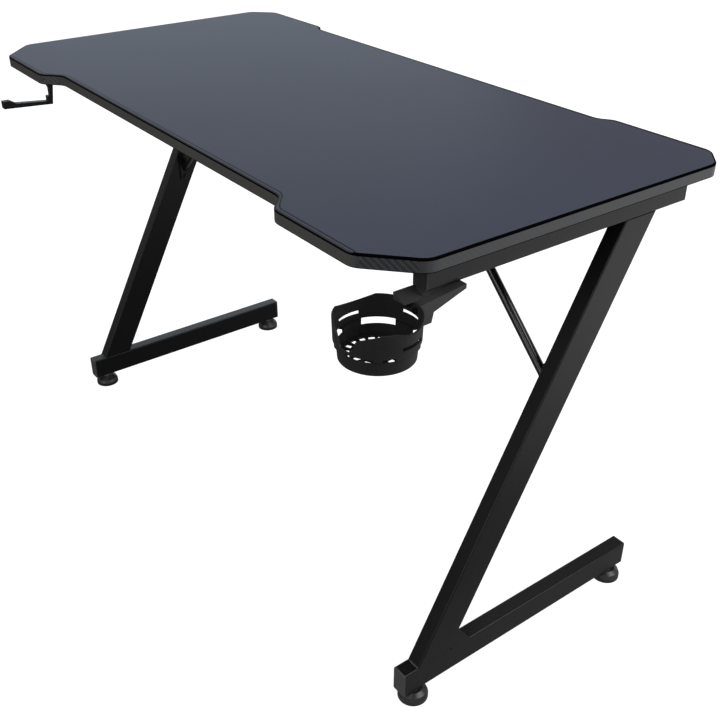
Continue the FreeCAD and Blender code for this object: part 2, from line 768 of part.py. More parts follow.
def foot_pad(name, x, y):
    profile = [
        (0, 0), (size.pad_radius, 0), (size.pad_radius, size.pad_rim_height),
        (size.pad_shoulder_radius, size.pad_shoulder_height), (size.pad_neck_radius, size.pad_height),
        (throat_radius, size.pad_height), (throat_radius, socket_top),
        (socket_radius, socket_top), (socket_radius, socket_bottom), (0, socket_bottom),
    ]
    return keep(turned(name, profile, (x, y, 0)))


def foot_stud(name, x, y):
    collar = doc.addObject("Part::Prism", f"{name}_collar")
    collar.Polygon = 6
    bind(collar, Circumradius=size.collar_corner_radius, Height=collar_top - collar_bottom)
    place(collar, (x, y, collar_bottom))
    shank = rod(f"{name}_shank", size.stud_radius, size.foot_height + size.stud_reach - collar_bottom,
                (x, y, collar_bottom))
    spigot = rod(f"{name}_spigot", size.spigot_radius, size.spigot_length, (x, y, spigot_bottom))
    flange = rod(f"{name}_flange", size.spigot_flange_radius, size.spigot_flange_height,
                 (x, y, spigot_bottom))
    return keep(joined(name, [collar, shank, spigot, flange]))


bushes = []
for side_name, side in SIDES.items():
    for end, y in foot_ys.items():
        foot_name = f"{end}_{side_name}_foot"
        x = leg_x * side
        foot_pad(f"{foot_name}_pad", x, y)
        foot_stud(f"{foot_name}_stud", x, y)
        bush = rod(f"{foot_name}_bush_blank", size.bush_radius, size.bush_length, (x, y, size.foot_height))
        thread = rod(f"{foot_name}_thread", size.stud_radius + size.thread_clearance,
                     size.bush_length + size.overrun * 2, (x, y, size.foot_height - size.overrun))
        bushes.append(cut(f"{foot_name}_bush", bush, [thread]))
keep(group("foot_bushes", bushes))

# Cup holder: a slotted basket in front of the right bar's end
basket_x = leg_x + size.basket_shift
basket_y = top_bar_front - size.basket_reach
rim_level = bar_bottom - size.rim_drop
ring_bottom = rim_level - size.ring_height
basket_bottom = ring_bottom - size.cup_height
basket_axis = (basket_x, basket_y, 0)


def basket_profile(wall, bottom, above=None):
    """Half section of the basket: a flared ring on a narrower cup, drawn wall inside its skin.

    above, where given, carries the section straight up past the rim.
    """
    ledge = ring_bottom + wall
    corners = [
        (0, bottom), (size.cup_foot_radius - wall, bottom), (size.cup_radius - wall, ledge),
        (size.ring_foot_radius - wall, ledge), (size.rim_radius - wall, rim_level),
    ]
    if above:
        corners.append((size.rim_radius - wall, rim_level + above))
    return corners + [(0, corners[-1][1])]


def window(name, width, height, middle_level, angle):
    """A cutter that points out from the basket's axis."""
    turn = FreeCAD.Rotation(FreeCAD.Vector(0, 0, 1), angle) * TO_RIGHT
    corners = [(x, y + middle_level) for x, y in rectangle(width, height)]
    return pushed(name, outline(name, corners, basket_axis, turn), size.rim_radius + size.overrun)


basket_skin = turned("basket_skin", basket_profile(0, basket_bottom), basket_axis)
inside = turned("basket_inside", basket_profile(size.basket_wall, basket_bottom + size.basket_floor,
                                                size.overrun), basket_axis)
openings = [inside]
for index, angle in enumerate(SIDE_WINDOW_ANGLES):
    openings.append(window(f"side_window_{index}", size.upper_window_width, size.upper_window_height,
                           rim_level - size.side_window_drop, angle))
openings.append(window("back_window", size.upper_window_width, size.upper_window_height,
                       rim_level - size.back_window_drop, BACK_WINDOW_ANGLE))
for index, angle in enumerate(LOWER_WINDOW_ANGLES):
    openings.append(window(f"lower_window_{index}", size.lower_window_width, size.lower_window_height,
                           ring_bottom, angle))
openings.append(window("front_window", size.front_window_width, size.front_window_height, ring_bottom,
                       FRONT_WINDOW_ANGLE))
openings.append(window("corner_window", size.corner_window_width, size.front_window_height, ring_bottom,
                       CORNER_WINDOW_ANGLE))
outer_slot_radius = (size.cup_foot_radius - size.basket_wall - size.floor_slot_edge_gap
                     - size.floor_slot_depth / 2)
for ring, radius, depth, width, angles in (
        ("outer", outer_slot_radius, size.floor_slot_depth, size.floor_slot_width, OUTER_SLOT_ANGLES),
        ("inner", size.inner_slot_radius, size.inner_slot_depth, size.inner_slot_width, INNER_SLOT_ANGLES)):
    for index, angle in enumerate(angles):
        turn = FreeCAD.Rotation(FreeCAD.Vector(0, 0, 1), angle)
        corners = [(x + radius, y) for x, y in rectangle(depth, width)]
        slot_sketch = outline(f"{ring}_slot_{index}", corners,
                              (basket_x, basket_y, basket_bottom - size.overrun), turn)
        openings.append(pushed(f"{ring}_slot_{index}", slot_sketch, size.basket_floor + size.overrun * 2))
notch_low = rim_level - size.notch_depth
notch_high = rim_level + size.notch_depth
notch_right = [(size.notch_foot_width / 2, notch_low),
               (size.notch_waist_width / 2, rim_level - size.notch_waist_drop),
               (size.notch_width / 2, rim_level), (size.notch_width / 2, notch_high)]
notch_corners = notch_right + [(-x, y) for x, y in reversed(notch_right)]
notch_turn = FreeCAD.Rotation(FreeCAD.Vector(0, 0, 1), NOTCH_TURN) * TO_FRONT
openings.append(pushed("front_notch", outline("front_notch", notch_corners, basket_axis, notch_turn,
                                              size.notch_round), size.rim_radius + size.overrun))
for index, angle in enumerate(SCALLOP_ANGLES):
    turn = FreeCAD.Rotation(FreeCAD.Vector(0, 0, 1), angle) * FreeCAD.Rotation(FreeCAD.Vector(0, 1, 0), 90)
    openings.append(rod(f"rim_scallop_{index}", size.scallop_radius, size.rim_radius + size.overrun,
                        (basket_x, basket_y, rim_level + size.scallop_radius - size.scallop_depth), turn))
holder_outer_x = leg_x + size.holder_overhang
basket_screw_xs = [basket_x - size.basket_screw_spacing / 2, basket_x + size.basket_screw_spacing / 2]
basket_screw_drops = [size.basket_screw_drop, size.basket_screw_drop + size.basket_screw_fall]
basket_screw_spots = [(x, basket_y, rim_level - drop) for x, drop in zip(basket_screw_xs, basket_screw_drops)]
for index, spot in enumerate(basket_screw_spots):
    openings.append(rod(f"basket_screw_hole_{index}", size.fitting_screw_radius + size.hole_clearance,
                        size.rim_radius + size.overrun, spot, TO_BACK))
keep(cut("cup_holder_basket", basket_skin, openings))

# Arm of the cup holder: a plate under the bar, a sloping flange with a fin along its outer side,
# and a neck that leads from the bar's end over the basket's rim
holder_tip = top_bar_front + size.holder_reach
fin_inner_x = holder_outer_x - size.holder_fin_width
plate_bottom = bar_bottom - size.holder_plate_thickness
holder_tip_top = bar_bottom - size.holder_tip_gap
holder_tip_bottom = holder_tip_top - size.holder_flange_thickness
arm_flange_top = bar_bottom - size.holder_flange_drop
arm_flange_bottom = arm_flange_top - size.holder_flange_thickness


def holder_slab(name, corners, inner_x, outer_x):
    """Part of the arm: a side outline, in Y and Z, pushed out between two places along X."""
    return pushed(name, outline(name, corners, (inner_x, 0, 0), TO_RIGHT), outer_x - inner_x)


plate_slab = holder_slab("holder_plate", [(top_bar_front, plate_bottom), (holder_tip, plate_bottom),
                                          (holder_tip, bar_bottom), (top_bar_front, bar_bottom)],
                         leg_x - size.holder_plate_width / 2, leg_x + size.holder_plate_width / 2)
flange_slab = holder_slab("holder_flange", [(basket_y, arm_flange_bottom), (holder_tip, holder_tip_bottom),
                                            (holder_tip, holder_tip_top), (basket_y, arm_flange_top)],
                          bar_inner_x, holder_outer_x)
fin_slab = holder_slab("holder_fin", [
    (basket_y, bar_bottom - size.holder_root_drop),
    (top_bar_front + size.holder_heel_back, bar_bottom - size.holder_heel_drop),
    (top_bar_front + size.holder_knee_back, bar_bottom - size.holder_knee_drop),
    (holder_tip, holder_tip_bottom), (holder_tip, holder_tip_top), (basket_y, arm_flange_top)],
                       fin_inner_x, holder_outer_x)
neck_back = top_bar_front + size.holder_knee_back
neck_corners = [(bar_inner_x, bar_bottom - size.holder_neck_drop), (holder_outer_x, arm_flange_bottom),
                (holder_outer_x, bar_bottom - size.holder_neck_drop), (bar_inner_x, bar_bottom)]
neck_slab = pushed("holder_neck", outline("holder_neck", neck_corners, (0, neck_back, 0), TO_FRONT),
                   size.holder_neck_reach + size.holder_knee_back)
basket_seat = turned("basket_seat", basket_profile(-size.holder_seat_gap, basket_bottom - size.overrun,
                                                   size.holder_seat_gap), basket_axis)
arm_cuts = [basket_seat]
for index, y in enumerate(fitting_screw_ys):
    arm_cuts.append(rod(f"holder_screw_hole_{index}", size.fitting_screw_radius + size.hole_clearance,
                        size.holder_root_drop + size.overrun,
                        (leg_x, y, bar_bottom - size.holder_root_drop)))
    arm_cuts.append(rod(f"holder_screw_recess_{index}", size.fitting_screw_head_radius + size.hole_clearance,
                        size.holder_root_drop - size.holder_plate_thickness,
                        (leg_x, y, bar_bottom - size.holder_root_drop)))
for index, (x, y, z) in enumerate(basket_screw_spots):
    arm_cuts.append(rod(f"holder_pilot_{index}", size.fitting_screw_radius,
                        size.rim_radius + size.fitting_screw_bite, (x, y, z), TO_BACK))
keep(cut("cup_holder_arm", joined("holder_blank", [plate_slab, flange_slab, fin_slab, neck_slab]), arm_cuts))


def fitting_screw(name, seat, grip, turn):
    """A short screw whose head lies against seat, and whose thread bites past the grip."""
    along = turn.multVec(FreeCAD.Vector(0, 0, 1))
    base = [part - size.fitting_screw_head_height * step for part, step in zip(seat, along)]
    return screw(name, size.fitting_screw_radius, grip + size.fitting_screw_bite,
                 size.fitting_screw_head_radius, size.fitting_screw_head_height, base, turn)


keep(group("cup_holder_screws", [
    fitting_screw(f"cup_holder_screw_{index}", (leg_x, y, plate_bottom), size.holder_plate_thickness, UP)
    for index, y in enumerate(fitting_screw_ys)]))

# The basket leans out slightly, so its screws seat on the wall's inner side at their own level
ring_slope = (size.rim_radius - size.ring_foot_radius) / size.ring_height
across = size.basket_screw_spacing / 2 + size.fitting_screw_head_radius
head_room = ring_slope * size.fitting_screw_head_radius
basket_screws = []
for index, ((x, y, z), drop) in enumerate(zip(basket_screw_spots, basket_screw_drops)):
    wall_outside = size.rim_radius - ring_slope * drop
    wall_inside = wall_outside - size.basket_wall
    seat_reach = (wall_inside * wall_inside - across * across).root() - head_room
    basket_screws.append(fitting_screw(f"basket_screw_{index}", (x, y + seat_reach, z),
                                       wall_outside - seat_reach, TO_BACK))
keep(group("basket_screws", basket_screws))

# Headphone hook: one bent bar, with a plate that is screwed under the left bar
hook_x = -leg_x - size.hook_width / 2
post_back = top_bar_front - size.hook_post_gap
post_front = post_back - size.hook_post_thickness
bend_back = post_back - size.hook_post_lean
rib_front = post_front - size.hook_post_lean
hook_bottom = bar_bottom - size.hook_drop
arm_top = hook_bottom + size.hook_arm_thickness
tip_front = post_back - size.hook_arm_reach
tip_bottom = hook_bottom + size.hook_arm_rise
hook_tip_top = tip_bottom + size.hook_tip_height
hook_plate_bottom = bar_bottom - size.hook_plate_thickness
hook_corners = [
    (bend_back, hook_bottom), (post_back, hook_plate_bottom),
    (top_bar_front + size.hook_plate_reach, hook_plate_bottom),
    (top_bar_front + size.hook_plate_reach, bar_bottom),
    (post_front - size.hook_post_flare, bar_bottom),
    (post_front - size.hook_post_flare, hook_plate_bottom),
    (post_front, hook_plate_bottom - size.hook_flare_height),
    (post_front, arm_top + size.hook_rib_height),
    (rib_front, arm_top + size.hook_rib_height), (rib_front, arm_top),
    (tip_front + size.hook_tip_thickness + size.hook_tip_ramp, tip_bottom + size.hook_arm_thickness),
    (tip_front + size.hook_tip_thickness, hook_tip_top), (tip_front, hook_tip_top), (tip_front, tip_bottom),
]
hook_sketch = outline("hook", list(reversed(hook_corners)), (hook_x, 0, 0), TO_RIGHT, size.hook_round)
hook_holes = [rod(f"hook_screw_hole_{index}", size.fitting_screw_radius + size.hole_clearance,
                  size.hook_plate_thickness + size.overrun * 2,
                  (-leg_x, y, hook_plate_bottom - size.overrun))
              for index, y in enumerate(fitting_screw_ys)]
keep(cut("headphone_hook", pushed("hook_blank", hook_sketch, size.hook_width), hook_holes))
keep(group("hook_screws", [
    fitting_screw(f"hook_screw_{index}", (-leg_x, y, hook_plate_bottom), size.hook_plate_thickness, UP)
    for index, y in enumerate(fitting_screw_ys)]))

doc.recompute()
for thing in doc.Objects:
    if "Invalid" in thing.State or "Error" in thing.State:
        raise RuntimeError(f"{thing.Label} failed: {thing.State}")
for piece in parts:
    if piece.Shape.isNull() or not piece.Shape.isValid() or not piece.Shape.Solids:
        raise RuntimeError(f"{piece.Label} has no sound shape")

os.makedirs("parts", exist_ok=True)
for piece in parts:
    piece.Shape.exportStep(f"parts/{piece.Label}.step")
    print(piece.Label, len(piece.Shape.Solids), round(piece.Shape.Volume))
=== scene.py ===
import math

import bmesh
import bpy
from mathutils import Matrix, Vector


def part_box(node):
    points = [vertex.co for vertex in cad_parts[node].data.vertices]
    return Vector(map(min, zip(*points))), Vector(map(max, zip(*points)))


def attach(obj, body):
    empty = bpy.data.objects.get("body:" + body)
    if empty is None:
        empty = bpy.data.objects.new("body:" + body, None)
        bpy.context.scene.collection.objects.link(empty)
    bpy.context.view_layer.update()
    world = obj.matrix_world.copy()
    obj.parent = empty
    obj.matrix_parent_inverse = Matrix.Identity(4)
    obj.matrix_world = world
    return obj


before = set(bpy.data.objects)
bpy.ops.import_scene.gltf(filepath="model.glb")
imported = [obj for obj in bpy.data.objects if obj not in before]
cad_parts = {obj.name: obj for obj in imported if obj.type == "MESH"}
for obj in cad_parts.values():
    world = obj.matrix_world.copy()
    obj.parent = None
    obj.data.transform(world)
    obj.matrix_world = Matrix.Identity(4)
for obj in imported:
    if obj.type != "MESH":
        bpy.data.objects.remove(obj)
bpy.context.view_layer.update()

# Side frames: each is a Z of rectangular steel tube, a base bar, a sloping leg and a top bar, cut to
# length and welded, then sprayed with black powder that bakes to a fine orange peel. A small plate
# stiffens the sharp corner behind the right leg.


class Wire:
    """An output in a finish's node tree. Sums on wires add the nodes that work them out."""

    def __init__(self, socket):
        self.socket = socket

    def add(self, kind, settings, sockets, out=0):
        """Adds a node of that kind, sets it up, feeds its sockets and gives one of its outputs."""
        tree = self.socket.id_data
        node = tree.nodes.new("ShaderNode" + kind)
        for name, value in settings.items():
            setattr(node, name, value)
        for name, value in sockets.items():
            if isinstance(value, Wire):
                tree.links.new(value.socket, node.inputs[name])
            else:
                node.inputs[name].default_value = value
        return Wire(node.outputs[out])

    def worked(self, operation, first, second):
        """What the operation makes of two values, or of two vectors where either is one."""
        pair = (first, second)
        if any(isinstance(value, tuple) or getattr(value, "vector", False) for value in pair):
            return self.add("VectorMath", {"operation": operation}, {0: first, 1: second})
        return self.add("Math", {"operation": operation}, {0: first, 1: second})

    @property
    def vector(self):
        return self.socket.type == "VECTOR"

    def __add__(self, other):
        return self.worked("ADD", self, other)

    def __radd__(self, other):
        return self.worked("ADD", other, self)

    def __sub__(self, other):
        return self.worked("SUBTRACT", self, other)

    def __rsub__(self, other):
        return self.worked("SUBTRACT", other, self)

    def __mul__(self, other):
        return self.worked("MULTIPLY", self, other)

    def __rmul__(self, other):
        return self.worked("MULTIPLY", other, self)

    def __truediv__(self, other):
        return self.worked("DIVIDE", self, other)

    def __floordiv__(self, other):
        share = self / other
        return share.worked("FLOOR", share, 0)

    def __mod__(self, other):
        return self.worked("FLOORED_MODULO", self, other)

    def __gt__(self, other):
        return self.worked("GREATER_THAN", self, other)

    def __lt__(self, other):
        return self.worked("LESS_THAN", self, other)

    def __abs__(self):
        return self.worked("ABSOLUTE", self, 0)


def new_finish(name, steady):
    """A finish with the values that are the same all over, and the place on the piece that it coats."""
    material = bpy.data.materials.new(name)
    material.use_nodes = True
    shader = material.node_tree.nodes["Principled BSDF"]
    for socket, value in steady.items():
        shader.inputs[socket].default_value = value
    place = material.node_tree.nodes.new("ShaderNodeTexCoord").outputs["Object"]
    return material, Wire(place)


def spread(place, varying):
    """Feeds what changes over the surface to the finish's shader."""
    tree = place.socket.id_data
    for socket, wire in varying.items():
        tree.links.new(wire.socket, tree.nodes["Principled BSDF"].inputs[socket])


def speckle(place, size, detail=2.0):
    """Soft random spots about that size across, from 0 to 1."""
    return place.add("TexNoise", {}, {"Vector": place, "Scale": 1 / size, "Detail": detail}, "Fac")


def tint(mask, dark, pale):
    """The colour dark where the mask is 0 and pale where it is 1."""
    dark, pale = (colour if isinstance(colour, Wire) else (*colour, 1) for colour in (dark, pale))
    return mask.add("Mix", {"data_type": "RGBA"}, {0: mask, 6: dark, 7: pale}, 2)


def relief(place, height, depth, strength=1.0):
    """The surface's direction where a height from 0 to 1 stands that deep."""
    return place.add("Bump", {}, {"Strength": strength, "Distance": depth, "Height": height}, "Normal")


def dress(material, *names):
    """Gives CAD pieces that finish in all their slots."""
    for name in names:
        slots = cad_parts[name].data.materials
        for index in range(len(slots)):
            slots[index] = material


powder_black, place = new_finish("powder_black", {"Specular IOR Level": 0.19})
peel = speckle(place, size=0.0011)
cloud = speckle(place, size=0.16, detail=4.0)
grit = speckle(place, size=0.0004, detail=1.0)
spread(place, {
    "Base Color": tint(cloud * 0.7 + grit * 0.3,
                       dark=(0.0048, 0.0048, 0.0051), pale=(0.0092, 0.0092, 0.0096)),
    "Roughness": 0.22 + cloud * 0.08 + grit * 0.05,
    "Normal": relief(place, peel * 0.8 + grit * 0.2, depth=0.00005, strength=0.5),
})
for side in ("left", "right"):
    dress(powder_black, f"{side}_base_bar", f"{side}_sloping_leg", f"{side}_top_bar")
dress(powder_black, "right_leg_gusset")

# Weld beads: melted wire runs across the tube at the front and back of each end of a leg. Each
# puddle froze over the one before, so a bead is a row of ripples under the paint.

bead_radius = 0.0022
bead_inset = 0.0022
bead_sides = 14
ripple_length = 0.0017
ripple_steps = 6
ripple_dip = 0.14
blunt_share = 0.04
taper_power = 0.25
wander_size = 0.06
wander_turn = 9.0
wander_shift = 40.0
leg_run = 0.331


def add_weld(name, rings, finish):
    """A weld on the frame: rings of points, skinned from one to the next and closed at both ends."""
    mesh = bmesh.new()
    loops = [[mesh.verts.new(point) for point in ring] for ring in rings]
    for before, after in zip(loops, loops[1:]):
        for k in range(len(before)):
            mesh.faces.new((before[k], before[k - 1], after[k - 1], after[k]))
    mesh.faces.new(loops[0])
    mesh.faces.new(reversed(loops[-1]))
    bmesh.ops.recalc_face_normals(mesh, faces=mesh.faces)
    data = bpy.data.meshes.new(name)
    mesh.to_mesh(data)
    mesh.free()
    data.materials.append(finish)
    weld = bpy.data.objects.new(name, data)
    bpy.context.scene.collection.objects.link(weld)
    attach(weld, "frame")
    return data


def weld_bead(name, start, end):
    """A rippled bead from start to end, half sunk in the corner that it fills."""
    line = end - start
    steps = round(line.length / ripple_length) * ripple_steps
    across = line.normalized().orthogonal().normalized()
    up = line.normalized().cross(across)
    turns = [math.tau * k / bead_sides for k in range(bead_sides)]
    rings = []
    for step in range(steps + 1):
        share = step / steps
        taper = math.sin(math.pi * min(max(share, blunt_share), 1 - blunt_share)) ** taper_power
        ripple = 1 - ripple_dip + ripple_dip * (step % ripple_steps) / ripple_steps
        wander = 1 + wander_size * math.sin(wander_turn * share + wander_shift * start.y)
        radius = bead_radius * taper * ripple * wander
        centre = start + line * share
        rings.append([centre + radius * (math.cos(turn) * across + math.sin(turn) * up) for turn in turns])
    add_weld(name, rings, weld_paint).shade_smooth()


weld_paint, place = new_finish("weld_paint", {"Specular IOR Level": 0.5})
spatter = speckle(place, size=0.0016)
spread(place, {
    "Base Color": tint(spatter, dark=(0.020, 0.020, 0.021), pale=(0.055, 0.055, 0.056)),
    "Roughness": 0.22 + spatter * 0.16,
    "Normal": relief(place, spatter, depth=0.00012, strength=0.6),
})
for side in ("left", "right"):
    low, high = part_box(f"{side}_sloping_leg")
    for spot, y, z in (("foot_front", low.y, low.z), ("foot_back", high.y - leg_run, low.z),
                       ("head_front", low.y + leg_run, high.z), ("head_back", high.y, high.z)):
        start = Vector((low.x + bead_inset, y, z))
        end = Vector((high.x - bead_inset, y, z))
        weld_bead(f"{side}_weld_{spot}", start, end)

# Ground welds: on the outer side the leg, and the plate behind the right one, are welded along the
# base bar too. The bead is ground level with the tubes, so the rounded corners under it don't show.

grinder_stroke = 0.009
fewest_strokes = 2
stroke_steps = 4
grinder_dip = 0.00008
dip_turn = 1.9
dip_shift = 60.0
tube_round = 0.0025


def ground_weld(name, corner, along, sides):
    """Fills the groove at a corner from there along a line, with dips where the grinder rested."""
    steps = max(fewest_strokes, round(along.length / grinder_stroke)) * stroke_steps
    inward = Vector((-math.copysign(1, corner.x), 0, 0))
    rings = []
    for step in range(steps + 1):
        dip = grinder_dip * (1 + math.sin(dip_turn * step + dip_shift * corner.y)) / 2
        spot = corner + along * (step / steps) + inward * dip
        rings.append([spot] + [spot + side * tube_round for side in sides])
    add_weld(name, rings, powder_black)


gusset_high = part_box("right_leg_gusset")[1]
for side, inward in (("left", Vector((1, 0, 0))), ("right", Vector((-1, 0, 0)))):
    low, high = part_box(f"{side}_sloping_leg")
    outer_x = high.x if side == "right" else low.x
    foot_back = high.y - leg_run
    weld_end = gusset_high.y if side == "right" else foot_back - tube_round
    foot_front = Vector((outer_x, low.y + tube_round, low.z))
    foot_line = Vector((0, weld_end - foot_front.y, 0))
    ground_weld(f"{side}_ground_foot_weld", foot_front, foot_line, (Vector((0, 0, -1)), inward))
    if side == "right":
        gusset_foot = Vector((outer_x, foot_back, low.z))
        gusset_line = Vector((0, leg_run / (high.z - low.z), 1)) * (gusset_high.z - low.z)
        ground_weld("right_ground_gusset_weld", gusset_foot, gusset_line, (Vector((0, -1, 0)), inward))

# End caps: polypropylene mouldings, a flat plate with a plug behind it, knocked into the open ends
# of the base bars and the top bars. Those of the top bars get a darker, duller copy of the plastic:
# painted shade for the shadow under the board.


def cap_plastic(name, shine, dark, pale):
    """Moulded plastic between two greys, clouded where it flowed in, with a fine etched grain."""
    material, place = new_finish(name, {"Specular IOR Level": shine})
    etch = speckle(place, size=0.00045, detail=1.0)
    flow = speckle(place, size=0.02, detail=3.0)
    spread(place, {
        "Base Color": tint(flow, (dark, dark, dark), (pale, pale, pale)),
        "Roughness": 0.46 + etch * 0.14,
        "Normal": relief(place, etch, depth=0.00004, strength=0.5),
    })
    return material


dress(cap_plastic("base_cap_plastic", shine=0.28, dark=0.045, pale=0.067), "base_bar_end_caps")
# The top bars' caps get a darker copy of the cap plastic: painted shade for the shadow under the board.
dress(cap_plastic("shaded_top_cap_plastic", shine=0.20, dark=0.021, pale=0.034), "top_bar_end_caps")

# Cross beam: a rectangular tube between the two top bars, with a plate welded on each end.
# It has the frame's own powder coat, and socket-head bolts hold its plates to the bars.

dress(powder_black, "cross_beam", "beam_end_plates")

black_steel, place = new_finish("black_steel", {"Metallic": 0.85, "Specular IOR Level": 0.5})
scale_mark = speckle(place, size=0.0012, detail=3.0)
bloom = speckle(place, size=0.008)
spread(place, {
    "Base Color": tint(scale_mark * 0.6 + bloom * 0.4,
                       dark=(0.016, 0.016, 0.017), pale=(0.042, 0.041, 0.040)),
    "Roughness": 0.30 + scale_mark * 0.20,
    "Normal": relief(place, scale_mark, depth=0.00003, strength=0.4),
})
dress(black_steel, "beam_bolts")

# Braces: a thin round tube from each leg up to the beam, ends cut to lie against flat tabs, in a
# glossier black than the frame. The tabs are blanked from strip, powder coated and bolted on.

brace_gloss, place = new_finish("brace_gloss", {"Specular IOR Level": 0.45})
peel = speckle(place, size=0.0010)
cloud = speckle(place, size=0.09, detail=3.0)
spread(place, {
    "Base Color": tint(cloud, dark=(0.004, 0.004, 0.0044), pale=(0.009, 0.009, 0.0095)),
    "Roughness": 0.15 + cloud * 0.08,
    "Normal": relief(place, peel, depth=0.00004, strength=0.4),
})
dress(brace_gloss, "left_brace", "right_brace")
dress(powder_black, "brace_tabs")
dress(black_steel, "brace_bolts")

# Levelling feet: a tapering nylon pad swivels on the flange of a zinc-plated stud, whose thread
# runs in a steel bush pressed into the underside of the base bar.

thread_pitch = 0.00125
thread_radius = 0.0041
thread_depth = 0.0006


def axes(place):
    """The place's three coordinates, a wire each."""
    return [place.add("SeparateXYZ", {}, {0: place}, axis) for axis in "XYZ"]


def clamped(wire, low, high, ease="LINEAR"):
    """The wire's share of the way from low to high, held between 0 and 1."""
    return wire.add("MapRange", {"interpolation_type": ease},
                    {"Value": wire, "From Min": low, "From Max": high})


def stud_zinc(name, centre):
    """Bright zinc, with the thread's helix round that centre on the shank above the hexagon."""
    material, place = new_finish(name, {"Metallic": 1.0})
    x, y, z = axes(place - (centre.x, centre.y, 0))
    turned = x.add("Math", {"operation": "ARCTAN2"}, {0: y, 1: x}) / math.tau
    along = (z / thread_pitch + turned) % 1.0
    flank = along.add("Math", {"operation": "PINGPONG"}, {0: along, 1: 0.5}) * 2
    off_axis = x.add("Math", {"operation": "SQRT"}, {0: x * x + y * y})
    threaded = off_axis < thread_radius
    stain = speckle(place, size=0.003, detail=3.0)
    spread(place, {
        "Base Color": tint(stain, dark=(0.40, 0.40, 0.39), pale=(0.62, 0.62, 0.60)),
        "Roughness": 0.26 + stain * 0.18,
        "Normal": relief(place, flank * threaded, depth=thread_depth),
    })
    return material


foot_nylon, place = new_finish("foot_nylon", {"Specular IOR Level": 0.45})
etch = speckle(place, size=0.0006, detail=1.0)
scuff = clamped(speckle(place, size=0.004, detail=4.0), low=0.62, high=0.78)
spread(place, {
    "Base Color": tint(scuff, dark=(0.015, 0.015, 0.0155), pale=(0.036, 0.036, 0.037)),
    "Roughness": 0.30 + scuff * 0.2 + etch * 0.08,
    "Normal": relief(place, etch, depth=0.00006, strength=0.5),
})
bush_steel, place = new_finish("bush_steel", {"Metallic": 1.0})
turning = speckle(place, size=0.0008)
spread(place, {
    "Base Color": tint(turning, dark=(0.33, 0.33, 0.32), pale=(0.52, 0.51, 0.49)),
    "Roughness": 0.30 + turning * 0.15,
})
dress(bush_steel, "foot_bushes")
for corner in ("front_left", "back_left", "front_right", "back_right"):
    dress(foot_nylon, f"{corner}_foot_pad")
    low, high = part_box(f"{corner}_foot_stud")
    dress(stud_zinc(f"{corner}_stud_zinc", (low + high) / 2), f"{corner}_foot_stud")

# Tabletop: a chipboard core, a thin balancing paper glued under it and a carbon-look film on top.
# The film is printed with a twill and pressed with a fine matt grain. A thin dark line along the user's
# side, a few millimetres in from the band, is painted shade where the band's rounded edge begins; another
# dark line runs along the back.

flakes_per_metre = 450.0
fibres_per_metre = (900.0, 160.0, 900.0)
tow_width = 0.0022
tows_over = 2
recess_edge = 0.268
recess_depth = 0.029
recess_step = (0.336, 0.388)
front_reach = 0.535
back_recess_edge = 0.2825
back_recess_depth = 0.0145
back_recess_step = (0.360, 0.398)
front_line_inset = 0.0026
front_line_width = 0.0028
back_line_width = 0.0045
line_blur = 0.0006
dark_line_black = (0.0015, 0.0016, 0.0022)

chipboard, place = new_finish("chipboard", {})
flakes = place.add("TexVoronoi", {"feature": "F1"}, {"Vector": place, "Scale": flakes_per_metre}, "Color")
flake = flakes.add("SeparateColor", {}, {0: flakes}, "Red")
spread(place, {
    "Base Color": tint(flake, dark=(0.26, 0.16, 0.085), pale=(0.50, 0.35, 0.20)),
    "Roughness": 0.75 + flake * 0.2,
    "Normal": relief(place, flake, depth=0.0004, strength=0.6),
})
dress(chipboard, "tabletop_core")

balancing_paper, place = new_finish("balancing_paper", {"Specular IOR Level": 0.2})
fibre = speckle(place * fibres_per_metre, size=1.0, detail=3.0)
blotch = speckle(place, size=0.05, detail=3.0)
spread(place, {
    "Base Color": tint(fibre * 0.6 + blotch * 0.4, dark=(0.016, 0.016, 0.017), pale=(0.034, 0.033, 0.032)),
    "Roughness": 0.66 + fibre * 0.16,
    "Normal": relief(place, fibre, depth=0.00004, strength=0.5),
})
dress(balancing_paper, "tabletop_backing")


def twill(across, along):
    """1 where a lengthways tow lies on top of a two-over, two-under weave, 0 where it dives under."""
    return (across // tow_width - along // tow_width) % (2 * tows_over) < tows_over


def tow_crown(wire):
    """The rounded back of each tow, from 0 at its sides to 1 along its middle."""
    share = (wire / tow_width) % 1.0
    return share * (1 - share) * 4


def either(first, second):
    """The stronger of two masks."""
    return first.add("Math", {"operation": "MAXIMUM"}, {0: first, 1: second})


top_film, place = new_finish("top_film", {"Specular IOR Level": 0.05})
x, y, z = axes(place)
wing = clamped(abs(x), *recess_step, ease="SMOOTHSTEP")
from_front = y + recess_edge + wing * recess_depth
# A dark line a few millimetres in from the front band: painted shade where the band's rounded edge begins.
off_front_line = abs(from_front - (front_line_inset + front_line_width / 2))
front_painted_shade = 1 - clamped(off_front_line, (front_line_width - line_blur) / 2, (front_line_width + line_blur) / 2)
back_wing = clamped(abs(x), *back_recess_step, ease="SMOOTHSTEP")
from_back = back_recess_edge + back_wing * back_recess_depth - y
back_dark_line = 1 - clamped(from_back, back_line_width - line_blur, back_line_width + line_blur)
dark_lines = either(front_painted_shade * (abs(x) < front_reach), back_dark_line)
over = twill(x, y)
crown = over * tow_crown(x) + (1 - over) * tow_crown(y)
grain = speckle(place, size=0.0007)
drift = speckle(place, size=0.28, detail=3.0)
print_tone = drift * 0.54 + over * 0.10 + crown * 0.08 + grain * 0.28
film_print = tint(print_tone, dark=(0.0224, 0.0263, 0.0410), pale=(0.0372, 0.0432, 0.0660))
spread(place, {
    "Base Color": tint(dark_lines, film_print, dark_line_black),
    "Roughness": 0.40 + grain * 0.10 + over * 0.02,
    "Normal": relief(place, crown * 0.35 + grain * 0.65, depth=0.00003, strength=0.35),
})
dress(top_film, "tabletop_laminate")
